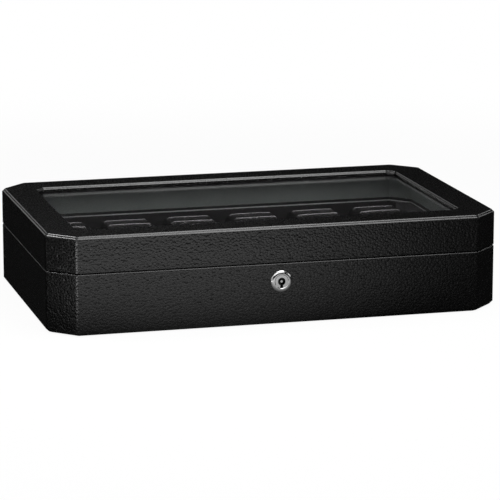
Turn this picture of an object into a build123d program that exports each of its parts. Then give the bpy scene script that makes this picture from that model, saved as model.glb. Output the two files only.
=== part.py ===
"""A glass-topped watch box for eighteen watches, with a hinged lid and a small cylinder lock.

The box is an octagon in plan: a long rectangle with its four corners cut off.
Boards make the carcass, black leather wraps them, and suede lines the inside.
The lid's frame holds a pane of glass in a rebate, and hinges on the back rim.
The tray below the glass is an egg-crate of halved dividers with a cushion in each cell.
A key turns the lock's plug, and its claw swings up through the rim into the lid.

Millimetres. The origin is under the middle of the box, at the surface it stands on.
X runs to the right, Y to the back and Z up, so the front faces -Y.
"""

from build123d import *
import math
import os

# The box outside
WIDTH = 400.0
DEPTH = 250.0
HEIGHT = 86.0
RIM_HEIGHT = 53.5
SEAM_GAP = 0.5
CORNER_LEG = 22.5
EDGE_BEVEL = 2.8
LIP_RADIUS = 1.0

# Boards and coverings
LEATHER = 1.0
BOARD = 8.0
LINING = 1.0
BOTTOM_BOARD = 4.0
BOTTOM_SEAT = 3.0
FELT = 0.8
FELT_MARGIN = 5.0
FLOOR_CARD = 1.2

# The lid's frame and glass
FRAME_WIDTH = 30.0
FRAME_BOARD = 6.5
OPENING_LEG = 7.0
OPENING_BEVEL = 2.3
GLASS = 3.0
GLASS_SEAL = 1.0
GLASS_EDGE = 7.0
GLASS_PLAY = 0.4
SEAL_WIDTH = 5.0
RETAINER = 1.2

# The tray, its heights counted down from the rim
COLUMNS = 6
ROWS = 3
DIVIDER = 3.0
DIVIDER_BELOW_RIM = 11.5
DIVIDER_EDGE = 0.9
HALVING_PLAY = 0.1
TRAY_END_WIDTH = 11.5
TRAY_END_BELOW_RIM = 3.5
TRAY_END_ROUND = 2.0

# The watch cushions, with the room that a strap needs round them
CUSHION_SIDE_ROOM = 6.5
STRAP_ROOM = 6.3
CUSHION_BELOW_RIM = 2.2
CUSHION_PLATEAU = 20.0
CUSHION_FOOT = 26.0
CUSHION_CHEEK = 8.0
CUSHION_CROWN = 1.6
CUSHION_DRAW = 2.0
SOFT_GAP = 0.3

# The lock
LOCK_BELOW_RIM = 15.6
ROSETTE_RADIUS = 9.65
ROSETTE_PROUD = 2.0
ROSETTE_SLOPE = 1.4
PLUG_RADIUS = 7.0
PLUG_SUNK = 0.7
BARREL_WALL = 1.0
KEYHOLE_RADIUS = 3.25
KEYHOLE_HEIGHT = 9.5
KEYHOLE_SLOT = 2.4
KEYHOLE_DEPTH = 4.0
KEY_PIN_RADIUS = 1.0
KEY_PIN_SUNK = 0.6
CASE_SHEET = 0.8
CASE_DEPTH = 5.0
CASE_BELOW = 12.0
FACEPLATE_LENGTH = 76.0
FACEPLATE_THICK = 1.0
FACEPLATE_SCREW_X = 33.0
NECK_RADIUS = 4.0
BOSS_SQUARE = 5.0
CLAW_THICK = 2.0
CLAW_INNER = 19.5
CLAW_OUTER = 23.5
CLAW_TIP = 150.0
CLAW_SPAN = 55.0
CLAW_SPOKE = 12.0
CLAW_TURN = 80.0
CLAW_HUB = 6.0
CLAW_TIP_ROUND = 1.2
CLAW_FRONT_GAP = 0.4
CLAW_SIDE_GAP = 1.2
STRIKER_THICK = 1.5

# The hinges
HINGE_FROM_END = 75.0
HINGE_LENGTH = 40.0
KNUCKLE_RADIUS = 2.0
KNUCKLE_SHARE = 13.5
KNUCKLE_GAP = 0.25
BARREL_GROOVE = 0.35
HINGE_PIN_RADIUS = 1.0
LEAF_THICK = 1.2
LEAF_WIDTH = 8.0
LEAF_SCREW_X = 12.0
LEAF_SCREW_BACK = 5.0

# Small screws
SCREW_SHANK = 1.0
SCREW_HEAD = 1.8
SCREW_HEAD_DEPTH = 0.9
SCREW_LENGTH = 8.0
SCREW_SIDES = 8
CLAW_SCREW_SHANK = 1.25
CLAW_SCREW_HEAD = 2.4
CLAW_SCREW_HEAD_DEPTH = 0.7
CLAW_SCREW_LENGTH = 4.5

# Fits, and how far a cutting block runs past what it cuts
RUNNING_FIT = 0.05
HOLE_PLAY = 0.05
OVERCUT = 1.0

# Places that follow from the sizes above
MITRE = 2 - math.sqrt(2)
BOARD_INSIDE = LEATHER + BOARD
ROOM_INSIDE = BOARD_INSIDE + LINING
LID_BOTTOM = RIM_HEIGHT + SEAM_GAP
SEAM_MIDDLE = RIM_HEIGHT + SEAM_GAP / 2
FRAME_UNDERSIDE = HEIGHT - LEATHER - FRAME_BOARD
RETAINER_UNDERSIDE = FRAME_UNDERSIDE - RETAINER
GLASS_TOP = FRAME_UNDERSIDE + GLASS
REBATE_TOP = GLASS_TOP + GLASS_SEAL
REBATE_INSET = FRAME_WIDTH - GLASS_EDGE
BOTTOM_BOARD_INSET = BOARD_INSIDE - BOTTOM_SEAT
BOARD_FLOOR = FELT + BOTTOM_BOARD
TRAY_FLOOR = BOARD_FLOOR + FLOOR_CARD
ROOM_X = WIDTH / 2 - ROOM_INSIDE
ROOM_Y = DEPTH / 2 - ROOM_INSIDE
ROW_PITCH = (2 * ROOM_Y + DIVIDER) / ROWS
TRAY_HALF = ROOM_X - TRAY_END_WIDTH
COLUMN_PITCH = 2 * TRAY_HALF / COLUMNS
DIVIDER_HEIGHT = RIM_HEIGHT - DIVIDER_BELOW_RIM - TRAY_FLOOR
CUSHION_WIDTH = COLUMN_PITCH - DIVIDER - 2 * CUSHION_SIDE_ROOM
CUSHION_LENGTH = ROW_PITCH - DIVIDER - 2 * STRAP_ROOM
CUSHION_HEIGHT = RIM_HEIGHT - CUSHION_BELOW_RIM - TRAY_FLOOR - SOFT_GAP
LOCK_HEIGHT = RIM_HEIGHT - LOCK_BELOW_RIM
FRONT = -DEPTH / 2
BOARD_BACK = FRONT + BOARD_INSIDE
CASE_FRONT = BOARD_BACK - CASE_DEPTH
CASE_HALF = CLAW_OUTER + CLAW_SIDE_GAP + CASE_SHEET
CLAW_BACK = CASE_FRONT + CASE_SHEET + CLAW_FRONT_GAP + CLAW_THICK
HINGE_AXIS_Y = DEPTH / 2
HINGE_PLACE = WIDTH / 2 - HINGE_FROM_END


def octagon(inset, leg=None):
    """The box's plan outline drawn in by inset, its cut corners drawn in with it."""
    half_x = WIDTH / 2 - inset
    half_y = DEPTH / 2 - inset
    if leg is None:
        leg = CORNER_LEG - MITRE * inset
    return Polygon(
        (half_x, -half_y + leg),
        (half_x, half_y - leg),
        (half_x - leg, half_y),
        (-half_x + leg, half_y),
        (-half_x, half_y - leg),
        (-half_x, -half_y + leg),
        (-half_x + leg, -half_y),
        (half_x - leg, -half_y),
        align=None,
    )


def slab(inset, bottom, top, leg=None):
    """An octagonal block between two heights."""
    return extrude(Pos(0, 0, bottom) * octagon(inset, leg), amount=top - bottom)


def opening_slab(outset, bottom, top):
    """A block that fills the lid's window, widened by outset."""
    return slab(FRAME_WIDTH - outset, bottom, top, OPENING_LEG + MITRE * outset)


def block(x_range, y_range, z_range):
    """A plain block given by its limits along X, Y and Z."""
    size = [high - low for low, high in (x_range, y_range, z_range)]
    middle = [(low + high) / 2 for low, high in (x_range, y_range, z_range)]
    return Pos(*middle) * Box(*size)


def edges_at(solid, height, outer=True):
    """The edges of a frame that lie flat at a height, on its outside or round its window."""
    level = solid.edges().filter_by_position(Axis.Z, height - HOLE_PLAY, height + HOLE_PLAY)
    reach = WIDTH / 2 - FRAME_WIDTH / 2
    depth_reach = DEPTH / 2 - FRAME_WIDTH / 2

    def is_outer(edge):
        middle = edge.center()
        across = abs(middle.X) / reach
        along = abs(middle.Y) / depth_reach
        return max(across, along) > 1

    return [edge for edge in level if is_outer(edge) == outer]


def cross_cylinder(radius, x_range, y, z):
    """A cylinder lying along X between two places."""
    length = x_range[1] - x_range[0]
    return Pos((x_range[0] + x_range[1]) / 2, y, z) * Rot(0, 90, 0) * Cylinder(radius, length)


def lock_plane(y):
    """A plane across the lock at depth y, seen from the front, centred on the plug."""
    return Plane(origin=(0, y, LOCK_HEIGHT), x_dir=(1, 0, 0), z_dir=(0, -1, 0))


def lock_slice(sketch, y_front, y_back):
    """A flat lock part cut from a sketch, between two depths."""
    return extrude(lock_plane(y_back) * sketch, amount=y_back - y_front)


def lock_disc(radius, y_front, y_back):
    """A round lock part between two depths."""
    return lock_slice(Circle(radius), y_front, y_back)


def lid_form(skin):
    """The lid's outside form, drawn in by skin on every covered face."""
    form = slab(skin, LID_BOTTOM + skin, HEIGHT - skin)
    form = form - opening_slab(skin, LID_BOTTOM - OVERCUT, HEIGHT + OVERCUT)
    form = chamfer(edges_at(form, HEIGHT - skin), EDGE_BEVEL - MITRE * skin)
    form = chamfer(edges_at(form, HEIGHT - skin, False), OPENING_BEVEL - MITRE * skin)
    if skin == 0:
        form = fillet(edges_at(form, LID_BOTTOM), LIP_RADIUS)
    return form


def base_form(skin):
    """The base's outside form, drawn in by skin on every covered face."""
    form = slab(skin, FELT + skin, RIM_HEIGHT - skin)
    form = chamfer(edges_at(form, FELT + skin), EDGE_BEVEL - MITRE * skin)
    if skin == 0:
        form = fillet(edges_at(form, RIM_HEIGHT), LIP_RADIUS)
    return form


def hinge_centres():
    """Where the two hinges stand along X, with their names."""
    return {"left": -HINGE_PLACE, "right": HINGE_PLACE}


def barrel_grooves():
    """Room for both hinge barrels, half in each rim."""
    half = HINGE_LENGTH / 2 + HOLE_PLAY
    radius = KNUCKLE_RADIUS + BARREL_GROOVE
    return [
        cross_cylinder(radius, (x - half, x + half), HINGE_AXIS_Y, SEAM_MIDDLE)
        for x in hinge_centres().values()
    ]


def leaf_mortises(low, high):
    """Shallow seats for the hinge leaves between two heights."""
    half = HINGE_LENGTH / 2 + HOLE_PLAY
    front = HINGE_AXIS_Y - LEAF_WIDTH - HOLE_PLAY
    return [
        block((x - half, x + half), (front, HINGE_AXIS_Y + OVERCUT), (low, high))
        for x in hinge_centres().values()
    ]


def hinge_screw_spots():
    """The screw places of both hinges, as X and Y."""
    y = HINGE_AXIS_Y - LEAF_SCREW_BACK
    return [(x + side * LEAF_SCREW_X, y) for x in hinge_centres().values() for side in (-1, 1)]


def lock_screw_spots():
    """The screw places of the lock's faceplate and of the striker, as X and Y."""
    y = (CASE_FRONT + BOARD_BACK) / 2
    return [(-FACEPLATE_SCREW_X, y), (FACEPLATE_SCREW_X, y)]


def few_sided_cone(top_radius, low_radius, top, low):
    """A tapered or straight rod with few sides, because small screws repeat many times."""
    height = top - low
    flat_gain = (top_radius - low_radius) * math.cos(math.pi / SCREW_SIDES)
    draft = math.degrees(math.atan(flat_gain / height))
    outline = Pos(0, 0, low) * RegularPolygon(low_radius, SCREW_SIDES)
    return extrude(outline, amount=height, taper=-draft)


def wood_screw():
    """A countersunk wood screw, its head's face at the origin, pointing down."""
    head = few_sided_cone(SCREW_HEAD, SCREW_SHANK, 0, -SCREW_HEAD_DEPTH)
    return head + few_sided_cone(SCREW_SHANK, SCREW_SHANK, -SCREW_HEAD_DEPTH, -SCREW_LENGTH)


def screw_hole():
    """The hole and countersink that a wood screw sits in, its mouth at the origin."""
    slope = (SCREW_HEAD - SCREW_SHANK) / SCREW_HEAD_DEPTH
    mouth = SCREW_HEAD + HOLE_PLAY + OVERCUT * slope
    shank = SCREW_SHANK + HOLE_PLAY
    countersink = few_sided_cone(mouth, shank, OVERCUT, -SCREW_HEAD_DEPTH)
    return countersink + few_sided_cone(shank, shank, -SCREW_HEAD_DEPTH, -SCREW_LENGTH - HOLE_PLAY)


def screws_at(spots, height, upward=False):
    """One screw at each spot, as one group of separate solids."""
    turn = Rot(180, 0, 0) if upward else Rot(0, 0, 0)
    return [Pos(x, y, height) * turn * wood_screw() for x, y in spots]


def holes_at(spots, height, upward=False):
    """The holes for screws_at."""
    turn = Rot(180, 0, 0) if upward else Rot(0, 0, 0)
    return [Pos(x, y, height) * turn * screw_hole() for x, y in spots]


def cut_all(solid, tools):
    """The solid with every tool cut from it."""
    for tool in tools:
        solid = solid - tool
    return solid


def base_cuts():
    """What is let into the base's boards and leather: hinges, lock, faceplate and screws."""
    faceplate_half = FACEPLATE_LENGTH / 2 + HOLE_PLAY
    faceplate_seat = block(
        (-faceplate_half, faceplate_half),
        (CASE_FRONT - HOLE_PLAY, BOARD_BACK + OVERCUT),
        (RIM_HEIGHT - FACEPLATE_THICK, RIM_HEIGHT + OVERCUT),
    )
    case_room = block(
        (-CASE_HALF - HOLE_PLAY, CASE_HALF + HOLE_PLAY),
        (CASE_FRONT - HOLE_PLAY, BOARD_BACK + OVERCUT),
        (LOCK_HEIGHT - CASE_BELOW - HOLE_PLAY, RIM_HEIGHT + OVERCUT),
    )
    barrel_radius = PLUG_RADIUS + RUNNING_FIT + BARREL_WALL + HOLE_PLAY
    barrel_hole = lock_disc(barrel_radius, FRONT - OVERCUT, CASE_FRONT + OVERCUT)
    seats = leaf_mortises(RIM_HEIGHT - LEAF_THICK, RIM_HEIGHT + OVERCUT)
    screws = holes_at(hinge_screw_spots(), RIM_HEIGHT) + holes_at(lock_screw_spots(), RIM_HEIGHT)
    return [faceplate_seat, case_room, barrel_hole] + barrel_grooves() + seats + screws


def lid_cuts():
    """What is let into the lid's boards and leather: hinges, striker, claw room and screws."""
    striker_half = FACEPLATE_LENGTH / 2 + HOLE_PLAY
    striker_seat = block(
        (-striker_half, striker_half),
        (CASE_FRONT - HOLE_PLAY, BOARD_BACK + OVERCUT),
        (LID_BOTTOM - OVERCUT, LID_BOTTOM + STRIKER_THICK),
    )
    claw_reach = CLAW_OUTER + CLAW_SIDE_GAP
    claw_room = block(
        (-claw_reach, claw_reach),
        (CASE_FRONT + CASE_SHEET, BOARD_BACK - CASE_SHEET),
        (LID_BOTTOM - OVERCUT, LOCK_HEIGHT + claw_reach),
    )
    seats = leaf_mortises(LID_BOTTOM - OVERCUT, LID_BOTTOM + LEAF_THICK)
    spots = hinge_screw_spots() + lock_screw_spots()
    return [striker_seat, claw_room] + barrel_grooves() + seats + holes_at(spots, LID_BOTTOM, True)


def make_base_carcass():
    """The board walls of the base, rebated below for the bottom board."""
    walls = base_form(LEATHER) - slab(BOARD_INSIDE, 0, RIM_HEIGHT + OVERCUT)
    walls = walls - slab(BOTTOM_BOARD_INSET, 0, BOARD_FLOOR)
    return cut_all(walls, base_cuts())


def make_base_leather():
    """The leather round the base, turned over the rim and under the bottom edge."""
    skin = base_form(0) - base_form(LEATHER)
    skin = skin - slab(BOARD_INSIDE, FELT + 2 * LEATHER, RIM_HEIGHT + OVERCUT)
    skin = skin - slab(BOTTOM_BOARD_INSET, 0, FELT + 2 * LEATHER)
    return cut_all(skin, base_cuts())


def make_lid_carcass():
    """The board walls of the lid and the frame round its window, rebated for the glass."""
    boards = lid_form(LEATHER) - slab(BOARD_INSIDE, 0, FRAME_UNDERSIDE)
    boards = boards - slab(REBATE_INSET, 0, REBATE_TOP)
    return cut_all(boards, lid_cuts())


def make_lid_leather():
    """The leather round the lid, turned under its rim and down into its window."""
    skin = lid_form(0) - lid_form(LEATHER)
    skin = skin - slab(BOARD_INSIDE, 0, FRAME_UNDERSIDE)
    skin = skin - slab(REBATE_INSET, 0, REBATE_TOP)
    return cut_all(skin, lid_cuts())


def make_bottom():
    """The bottom board in its rebate, and the felt under it that the box stands on."""
    board = slab(BOTTOM_BOARD_INSET, FELT, BOARD_FLOOR)
    felt = slab(FELT_MARGIN, 0, FELT)
    return board, felt


def make_linings():
    """The suede-covered cards: round the base's walls, on its floor and round the lid's walls."""
    floor = slab(BOARD_INSIDE, BOARD_FLOOR, TRAY_FLOOR)
    base_walls = slab(BOARD_INSIDE, TRAY_FLOOR, RIM_HEIGHT) - slab(ROOM_INSIDE, 0, HEIGHT)
    lid_walls = slab(BOARD_INSIDE, LID_BOTTOM, RETAINER_UNDERSIDE) - slab(ROOM_INSIDE, 0, HEIGHT)
    return floor, base_walls, lid_walls


def make_glass():
    """The pane, the soft seal above it and the suede-covered frame that holds it from below."""
    pane_inset = REBATE_INSET + GLASS_PLAY
    pane = slab(pane_inset, FRAME_UNDERSIDE, GLASS_TOP)
    pane = chamfer(pane.edges().filter_by(Axis.Z, reverse=True), GLASS_PLAY)
    seal = slab(pane_inset, GLASS_TOP, REBATE_TOP)
    seal = seal - slab(pane_inset + SEAL_WIDTH, 0, HEIGHT)
    retainer = slab(BOARD_INSIDE, RETAINER_UNDERSIDE, FRAME_UNDERSIDE)
    retainer = retainer - opening_slab(LEATHER, 0, HEIGHT)
    return pane, seal, retainer


def make_tray_end(side):
    """The padded rail that squares off one end of the tray between the cut corners."""
    top = RIM_HEIGHT - TRAY_END_BELOW_RIM
    reach = (TRAY_HALF, WIDTH) if side > 0 else (-WIDTH, -TRAY_HALF)
    rail = slab(ROOM_INSIDE, TRAY_FLOOR, top) & block(reach, (-DEPTH, DEPTH), (0, HEIGHT))
    return fillet(rail.faces().sort_by(Axis.Z)[-1].edges(), TRAY_END_ROUND)


def divider_board(length, along_x):
    """A suede-covered divider standing on the tray's floor, its top edges eased."""
    size = (length, DIVIDER) if along_x else (DIVIDER, length)
    board = Pos(0, 0, TRAY_FLOOR + DIVIDER_HEIGHT / 2) * Box(*size, DIVIDER_HEIGHT)
    top = board.faces().sort_by(Axis.Z)[-1]
    return chamfer(top.edges().filter_by(Axis.X if along_x else Axis.Y), DIVIDER_EDGE)


def divider_lines(count, pitch):
    """The places of the dividers between count cells."""
    return [(index + 1 - count / 2) * pitch for index in range(count - 1)]


def make_long_divider(y):
    """A divider between two rows, slotted from below where the cross dividers pass."""
    board = Pos(0, y, 0) * divider_board(2 * TRAY_HALF, True)
    half = DIVIDER / 2 + HALVING_PLAY
    middle = TRAY_FLOOR + DIVIDER_HEIGHT / 2 + HALVING_PLAY
    for x in divider_lines(COLUMNS, COLUMN_PITCH):
        board = board - block((x - half, x + half), (y - DIVIDER, y + DIVIDER), (0, middle))
    return board


def make_cross_divider(x):
    """A divider between two columns, slotted from above where the long dividers pass."""
    board = Pos(x, 0, 0) * divider_board(2 * ROOM_Y, False)
    half = DIVIDER / 2 + HALVING_PLAY
    middle = TRAY_FLOOR + DIVIDER_HEIGHT / 2
    for y in divider_lines(ROWS, ROW_PITCH):
        board = board - block((x - DIVIDER, x + DIVIDER), (y - half, y + half), (middle, HEIGHT))
    return board


def cushion_side():
    """The cushion's side view about its middle: round above, and with short slopes to its foot."""
    top_half = CUSHION_PLATEAU / 2
    foot_half = CUSHION_FOOT / 2
    cheek_half = CUSHION_CHEEK / 2
    end = CUSHION_LENGTH / 2
    top = CUSHION_HEIGHT / 2
    share = math.sqrt(0.5)
    middle = (top_half + (end - top_half) * share, cheek_half + (top - cheek_half) * share)
    outline = [Line((-top_half, top), (top_half, top))]
    for side in (-1, 1):
        bend_middle = (side * middle[0], middle[1])
        outline.append(ThreePointArc((side * top_half, top), bend_middle, (side * end, cheek_half)))
        outline.append(Line((side * end, cheek_half), (side * end, -cheek_half)))
        low_y = foot_half + (end - foot_half) * share
        low_z = -cheek_half - (top - cheek_half) * share
        outline.append(Line((side * end, -cheek_half), (side * low_y, low_z)))
        outline.append(Line((side * low_y, low_z), (side * foot_half, -top)))
    outline.append(Line((-foot_half, -top), (foot_half, -top)))
    return make_face(outline)


def bowed_outline(width, height, drop, bow_below):
    """A rectangle whose upper side bows out by drop, and its lower side too if asked."""
    half_x = width / 2
    top = height / 2
    corner = top - drop
    low = (half_x, -corner if bow_below else -top)
    if bow_below:
        lower_side = ThreePointArc(low, (0, -top), (-half_x, low[1]))
    else:
        lower_side = Line(low, (-half_x, low[1]))
    return make_face(
        [
            ThreePointArc((-half_x, corner), (0, top), (half_x, corner)),
            Line((half_x, corner), low),
            lower_side,
            Line((-half_x, low[1]), (-half_x, corner)),
        ]
    )


def make_cushion():
    """One watch cushion, its middle at the origin: crowned, with its sides drawn in."""
    side = extrude(Plane.YZ * cushion_side(), amount=CUSHION_WIDTH, both=True)
    front = bowed_outline(CUSHION_WIDTH, CUSHION_HEIGHT, CUSHION_CROWN, False)
    plan = bowed_outline(CUSHION_WIDTH, CUSHION_LENGTH, CUSHION_DRAW, True)
    form = side & extrude(Plane.XZ * front, amount=CUSHION_LENGTH, both=True)
    return form & extrude(plan, amount=CUSHION_HEIGHT, both=True)


def cushion_places():
    """The middle of each cell, named by its row from the front and its column from the left."""
    places = {}
    for row in range(ROWS):
        for column in range(COLUMNS):
            x = (column + 0.5 - COLUMNS / 2) * COLUMN_PITCH
            y = (row + 0.5 - ROWS / 2) * ROW_PITCH
            places[f"watch_cushion_{row + 1}{column + 1}"] = (x, y)
    return places


def make_rosette():
    """The bright domed ring on the leather, in one with the barrel that the plug turns in."""
    bore = PLUG_RADIUS + RUNNING_FIT
    neck = bore + BARREL_WALL
    depth = CASE_FRONT - FRONT
    profile = Polygon(
        (bore, -depth),
        (neck, -depth),
        (neck, 0),
        (ROSETTE_RADIUS, 0),
        (ROSETTE_RADIUS - ROSETTE_SLOPE, ROSETTE_PROUD),
        (bore, ROSETTE_PROUD),
        align=None,
    )
    plane = Plane(origin=(0, FRONT, LOCK_HEIGHT), x_dir=(1, 0, 0), z_dir=(0, 0, 1))
    axis = Axis((0, FRONT, LOCK_HEIGHT), (0, 1, 0))
    return revolve(plane * mirror(profile, Plane.XZ), axis)


def make_plug():
    """The plug with its keyhole, its neck through the case and the square that drives the claw."""
    face = FRONT - ROSETTE_PROUD + PLUG_SUNK
    plug = lock_disc(PLUG_RADIUS, face, CASE_FRONT - RUNNING_FIT)
    plug = plug + lock_disc(NECK_RADIUS, face + KEYHOLE_DEPTH, CLAW_BACK - CLAW_THICK)
    plug = plug + lock_slice(Rectangle(BOSS_SQUARE, BOSS_SQUARE), CLAW_BACK - CLAW_THICK, CLAW_BACK)
    slot_drop = KEYHOLE_HEIGHT - KEYHOLE_RADIUS
    slot = Pos(0, -slot_drop / 2) * Rectangle(KEYHOLE_SLOT, slot_drop)
    keyhole = Circle(KEYHOLE_RADIUS) + slot
    plug = plug - lock_slice(keyhole, face - OVERCUT, face + KEYHOLE_DEPTH)
    tapped = CLAW_SCREW_LENGTH - CLAW_SCREW_HEAD_DEPTH + HOLE_PLAY
    tapped_outline = RegularPolygon(CLAW_SCREW_SHANK + HOLE_PLAY, SCREW_SIDES)
    return plug - lock_slice(tapped_outline, CLAW_BACK - tapped, CLAW_BACK + OVERCUT)


def make_key_pin():
    """The pin that a hollow key slides over, standing in the middle of the keyhole."""
    face = FRONT - ROSETTE_PROUD + PLUG_SUNK
    return lock_disc(KEY_PIN_RADIUS, face + KEY_PIN_SUNK, face + KEYHOLE_DEPTH)


def claw_point(radius, degrees):
    """A point of the claw's outline, from its turning centre."""
    angle = math.radians(degrees)
    return (radius * math.cos(angle), radius * math.sin(angle))


def claw_sector(inner, outer, start, span):
    """A piece of a ring between two radii, from one angle on through a span."""
    arc_out = ThreePointArc(
        claw_point(outer, start), claw_point(outer, start + span / 2), claw_point(outer, start + span)
    )
    arc_in = ThreePointArc(
        claw_point(inner, start + span), claw_point(inner, start + span / 2), claw_point(inner, start)
    )
    return make_face(
        [
            arc_out,
            Line(claw_point(outer, start + span), claw_point(inner, start + span)),
            arc_in,
            Line(claw_point(inner, start), claw_point(outer, start)),
        ]
    )


def make_claw():
    """The claw in its unlocked place: a curved arm on a spoke, hidden below the rim."""
    arm = claw_sector(CLAW_INNER, CLAW_OUTER, CLAW_TIP, CLAW_SPAN)
    spoke_start = CLAW_TIP + CLAW_SPAN - CLAW_SPOKE
    spoke = claw_sector(CLAW_HUB / 2, (CLAW_INNER + CLAW_OUTER) / 2, spoke_start, CLAW_SPOKE)
    outline = Circle(CLAW_HUB) + spoke + arm
    square = BOSS_SQUARE + 2 * HOLE_PLAY
    outline = outline - Rectangle(square, square)
    claw = lock_slice(outline, CLAW_BACK - CLAW_THICK, CLAW_BACK)
    tip_x, tip_z = claw_point(CLAW_OUTER, CLAW_TIP)
    tip = Vector(tip_x, CLAW_BACK - CLAW_THICK / 2, LOCK_HEIGHT + tip_z)
    tip_edge = claw.edges().filter_by(Axis.Y).sort_by_distance(tip)[0]
    return fillet(tip_edge, CLAW_TIP_ROUND)


def make_claw_screw():
    """The screw that holds the claw on the plug's square."""
    head_outline = RegularPolygon(CLAW_SCREW_HEAD, SCREW_SIDES)
    head = lock_slice(head_outline, CLAW_BACK, CLAW_BACK + CLAW_SCREW_HEAD_DEPTH)
    shank_end = CLAW_BACK - CLAW_SCREW_LENGTH + CLAW_SCREW_HEAD_DEPTH
    shank_outline = RegularPolygon(CLAW_SCREW_SHANK, SCREW_SIDES)
    return head + lock_slice(shank_outline, shank_end, CLAW_BACK)


def claw_slot(low, high):
    """The room that the turning claw sweeps between two heights, as its limits along X."""
    drop = low - LOCK_HEIGHT
    rise = high - LOCK_HEIGHT
    left = -math.sqrt(CLAW_OUTER**2 - drop**2)
    spoke_end = math.radians(CLAW_TIP + CLAW_SPAN - CLAW_SPOKE - CLAW_TURN)
    right_spoke = drop / math.tan(spoke_end)
    right_arm = -math.sqrt(CLAW_INNER**2 - rise**2)
    return (left - CLAW_FRONT_GAP, max(right_spoke, right_arm) + CLAW_FRONT_GAP)


def make_lock_case():
    """The steel case let into the front board, in one with the faceplate on the rim."""
    top = RIM_HEIGHT - FACEPLATE_THICK
    floor = LOCK_HEIGHT - CASE_BELOW
    back = BOARD_BACK - CASE_SHEET
    case = block((-CASE_HALF, CASE_HALF), (CASE_FRONT, back), (floor, top))
    inside = CASE_HALF - CASE_SHEET
    room = ((-inside, inside), (CASE_FRONT + CASE_SHEET, back + OVERCUT), (floor + CASE_SHEET, top))
    case = case - block(*room)
    half = FACEPLATE_LENGTH / 2
    case = case + block((-half, half), (CASE_FRONT, BOARD_BACK), (top, RIM_HEIGHT))
    slot = (CASE_FRONT + CASE_SHEET, back)
    case = case - block(claw_slot(top, RIM_HEIGHT), slot, (top - OVERCUT, RIM_HEIGHT + OVERCUT))
    neck = NECK_RADIUS + RUNNING_FIT
    case = case - lock_disc(neck, CASE_FRONT - OVERCUT, CASE_FRONT + CASE_SHEET + OVERCUT)
    return cut_all(case, holes_at(lock_screw_spots(), RIM_HEIGHT))


def make_case_cover():
    """The flat cover that closes the back of the lock case."""
    top = RIM_HEIGHT - FACEPLATE_THICK
    floor = LOCK_HEIGHT - CASE_BELOW
    return block((-CASE_HALF, CASE_HALF), (BOARD_BACK - CASE_SHEET, BOARD_BACK), (floor, top))


def make_striker():
    """The slotted plate in the lid's rim, whose bar the claw swings over."""
    half = FACEPLATE_LENGTH / 2
    top = LID_BOTTOM + STRIKER_THICK
    plate = block((-half, half), (CASE_FRONT, BOARD_BACK), (LID_BOTTOM, top))
    slot = (CASE_FRONT + CASE_SHEET, BOARD_BACK - CASE_SHEET)
    plate = plate - block(claw_slot(LID_BOTTOM, top), slot, (LID_BOTTOM - OVERCUT, top + OVERCUT))
    return cut_all(plate, holes_at(lock_screw_spots(), LID_BOTTOM, True))


def leaf_plate(low, high):
    """A hinge leaf's flat plate at X = 0, as far back as the pin's bore."""
    half = HINGE_LENGTH / 2
    reach = HINGE_AXIS_Y - HINGE_PIN_RADIUS - 2 * RUNNING_FIT
    return block((-half, half), (HINGE_AXIS_Y - LEAF_WIDTH, reach), (low, high))


def knuckle(x_range):
    """One knuckle of a hinge, still without its bore."""
    return cross_cylinder(KNUCKLE_RADIUS, x_range, HINGE_AXIS_Y, SEAM_MIDDLE)


def pin_bore():
    """The bore of a whole hinge barrel."""
    radius = HINGE_PIN_RADIUS + RUNNING_FIT
    return cross_cylinder(radius, (-HINGE_LENGTH, HINGE_LENGTH), HINGE_AXIS_Y, SEAM_MIDDLE)


def make_base_leaf(x):
    """The leaf on the base's rim, with the two outer knuckles."""
    half = HINGE_LENGTH / 2
    inner = half - KNUCKLE_SHARE
    leaf = leaf_plate(RIM_HEIGHT - LEAF_THICK, RIM_HEIGHT)
    groove = KNUCKLE_RADIUS + BARREL_GROOVE
    leaf = leaf - cross_cylinder(groove, (-inner, inner), HINGE_AXIS_Y, SEAM_MIDDLE)
    leaf = leaf + knuckle((-half, -inner)) + knuckle((inner, half))
    spots = [(side * LEAF_SCREW_X, HINGE_AXIS_Y - LEAF_SCREW_BACK) for side in (-1, 1)]
    leaf = cut_all(leaf - pin_bore(), holes_at(spots, RIM_HEIGHT))
    return Pos(x, 0, 0) * leaf


def make_lid_leaf(x):
    """The leaf under the lid's rim, with the middle knuckle."""
    half = HINGE_LENGTH / 2
    inner = half - KNUCKLE_SHARE
    leaf = leaf_plate(LID_BOTTOM, LID_BOTTOM + LEAF_THICK)
    groove = KNUCKLE_RADIUS + BARREL_GROOVE
    for side in (-1, 1):
        reach = sorted((side * (inner - KNUCKLE_GAP), side * (half + OVERCUT)))
        leaf = leaf - cross_cylinder(groove, reach, HINGE_AXIS_Y, SEAM_MIDDLE)
    leaf = leaf + knuckle((-inner + KNUCKLE_GAP, inner - KNUCKLE_GAP))
    spots = [(side * LEAF_SCREW_X, HINGE_AXIS_Y - LEAF_SCREW_BACK) for side in (-1, 1)]
    leaf = cut_all(leaf - pin_bore(), holes_at(spots, LID_BOTTOM, True))
    return Pos(x, 0, 0) * leaf


def make_hinge_pin(x):
    """A hinge pin, as long as its barrel."""
    half = HINGE_LENGTH / 2
    return cross_cylinder(HINGE_PIN_RADIUS, (x - half, x + half), HINGE_AXIS_Y, SEAM_MIDDLE)


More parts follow.
